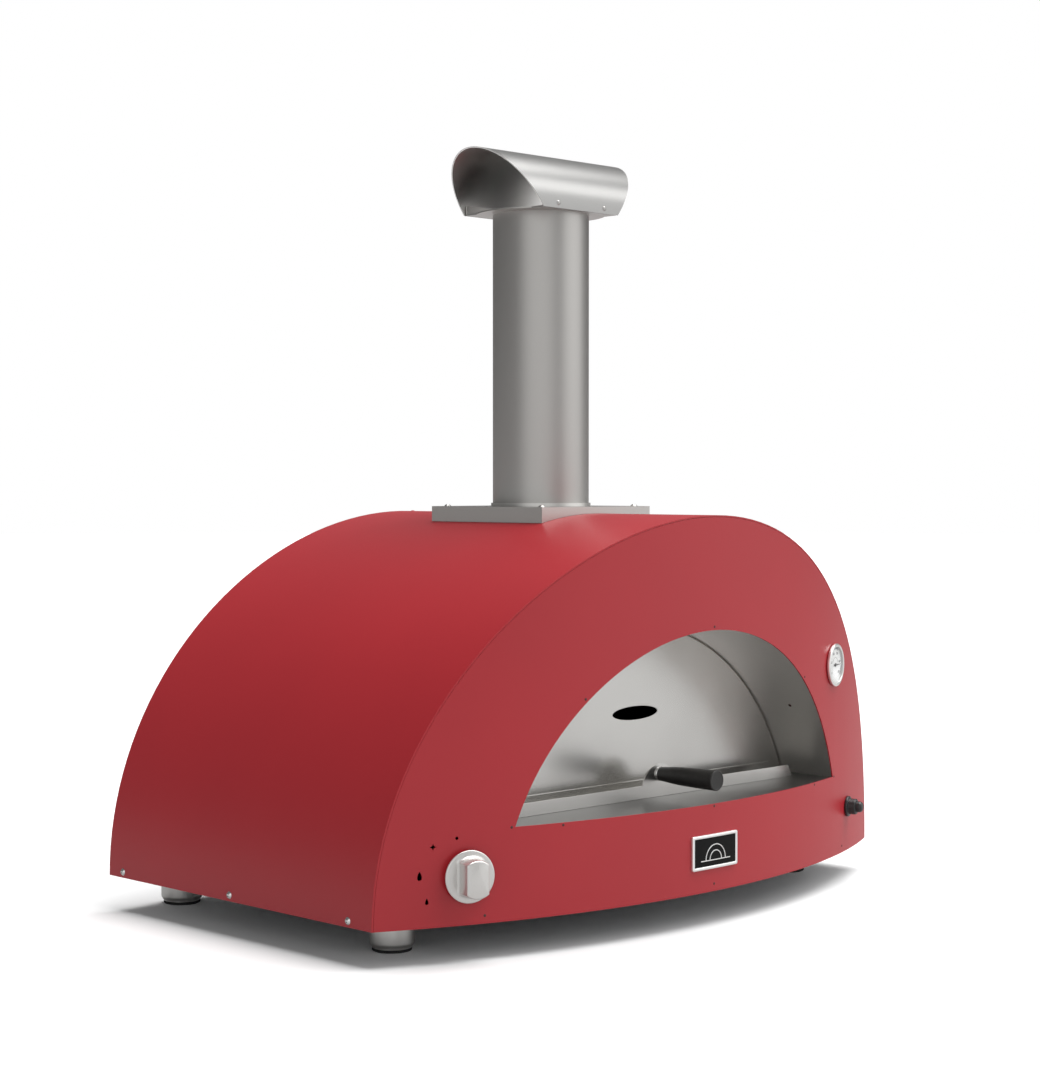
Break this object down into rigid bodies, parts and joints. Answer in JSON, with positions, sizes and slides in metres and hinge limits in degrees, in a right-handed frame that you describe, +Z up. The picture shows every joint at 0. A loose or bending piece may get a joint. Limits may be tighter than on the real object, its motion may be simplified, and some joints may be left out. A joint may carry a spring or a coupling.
{
  "type": "countertop pizza oven",
  "caption": "Gas countertop pizza oven with a red half-round hood, bowed front, lift-out steel door, side burner, thermometer and flue with a half-round cowl",
  "frame": {"origin": "on the floor under the middle of the oven's bounding box", "axes": "+Z up, the mouth and door face -Y, +X to the right when facing the mouth"},
  "size_m": [1.006, 0.674, 1.0525],
  "materials": {
    "red_paint": "satin red powder coat on sheet steel",
    "galvanised_sheet": "dull zinc-coated sheet",
    "stainless_sheet": "brushed stainless sheet",
    "door_steel": "brushed stainless sheet, fine vertical grain",
    "flue_steel": "rolled stainless sheet, grain around the pipe",
    "foot_steel": "turned stainless steel",
    "chamber_steel": "heat-tinted stainless sheet",
    "bright_steel": "bright plated steel",
    "rivet_steel": "dark rivet heads",
    "satin_chrome": "satin chrome",
    "hearth_stone": null,
    "ceramic_blanket": "white ceramic fibre blanket",
    "insulating_board": "mineral insulating board",
    "valve_brass": "machined brass",
    "gas_pipe": "bent copper tube",
    "white_ceramic": "glazed white ceramic",
    "lead_rubber": "high-voltage lead insulation",
    "black_plastic": "black moulded plastic",
    "handle_black": "black phenolic handle, slight sheen",
    "dial_white": "white printed dial",
    "needle_black": "black painted pointer",
    "dial_glass": "clear flat glass",
    "badge_silver": "satin silver frame",
    "badge_black": "gloss black field with a plain raised pattern",
    "pad_rubber": "black rubber"
  },
  "bodies": {
    "oven": {"hood_shell": "red_paint", "front_panel": "red_paint", "back_panel": "galvanised_sheet", "base_tray": "galvanised_sheet", "support_rails": "galvanised_sheet", "vault_blanket": "ceramic_blanket", "floor_board": "insulating_board", "chamber_vault": "chamber_steel", "chamber_back_wall": "chamber_steel", "chamber_front_wall": "chamber_steel", "hearth_tray": "chamber_steel", "hearth_tiles": "hearth_stone", "mouth_tunnel": "stainless_sheet", "mouth_sill": "stainless_sheet", "burner_tube": "chamber_steel", "burner_saddles": "chamber_steel", "injector_holder": "valve_brass", "gas_valve": "valve_brass", "supply_pipe": "gas_pipe", "burner_pipe": "gas_pipe", "gas_inlet": "valve_brass", "thermocouple": "gas_pipe", "spark_electrode": "white_ceramic", "ignition_lead": "lead_rubber", "igniter_housing": "black_plastic", "igniter_nut": "black_plastic", "thermometer_case": "satin_chrome", "thermometer_dial": "dial_white", "thermometer_glass": "dial_glass", "thermometer_probe": "bright_steel", "badge_frame": "badge_silver", "badge_panel": "badge_black", "flue_plate": "stainless_sheet", "flue_throat": "chamber_steel", "flue_collar": "stainless_sheet", "flue_pipe": "flue_steel", "cowl_shell": "flue_steel", "cowl_base": "flue_steel", "cowl_rivets": "bright_steel", "plate_screws": "bright_steel", "side_screws": "bright_steel", "panel_rivets": "rivet_steel", "apex_screw": "red_paint", "foot_sleeve_front_left": "foot_steel", "foot_pad_front_left": "pad_rubber", "foot_sleeve_front_right": "foot_steel", "foot_pad_front_right": "pad_rubber", "foot_sleeve_rear_left": "foot_steel", "foot_pad_rear_left": "pad_rubber", "foot_sleeve_rear_right": "foot_steel", "foot_pad_rear_right": "pad_rubber"},
    "door": {"door_plate": "door_steel", "door_foot": "door_steel", "door_grip": "handle_black", "door_stud": "bright_steel"},
    "knob_carrier": {"thrust_washer": "bright_steel"},
    "knob": {"valve_stem": "bright_steel", "control_knob": "satin_chrome"},
    "button": {"igniter_button": "black_plastic"},
    "needle": {"thermometer_needle": "needle_black"}
  },
  "joints": [
    {"name": "door_lift_out", "type": "slide", "parent": "oven", "child": "door", "axis": [0, -1, 0], "range_m": [0, 0.3]},
    {"name": "knob_push", "type": "slide", "parent": "oven", "child": "knob_carrier", "axis": [0.3487, 0.9372, 0], "range_m": [0, 0.0035], "stiffness_N_per_m": 900},
    {"name": "knob_turn", "type": "hinge", "parent": "knob_carrier", "child": "knob", "pos_m": [-0.387, -0.26235, 0.1075], "axis": [-0.3487, -0.9372, 0], "range_deg": [0, 120]},
    {"name": "igniter_press", "type": "slide", "parent": "oven", "child": "button", "axis": [-0.35, 0.9367, 0], "range_m": [0, 0.005], "stiffness_N_per_m": 900},
    {"name": "needle_turn", "type": "hinge", "parent": "oven", "child": "needle", "pos_m": [0.32918, -0.28625, 0.3255], "axis": [-0.2955, 0.9553, 0], "range_deg": [-218, 38], "stiffness_Nm_per_rad": 0.002}
  ]
}
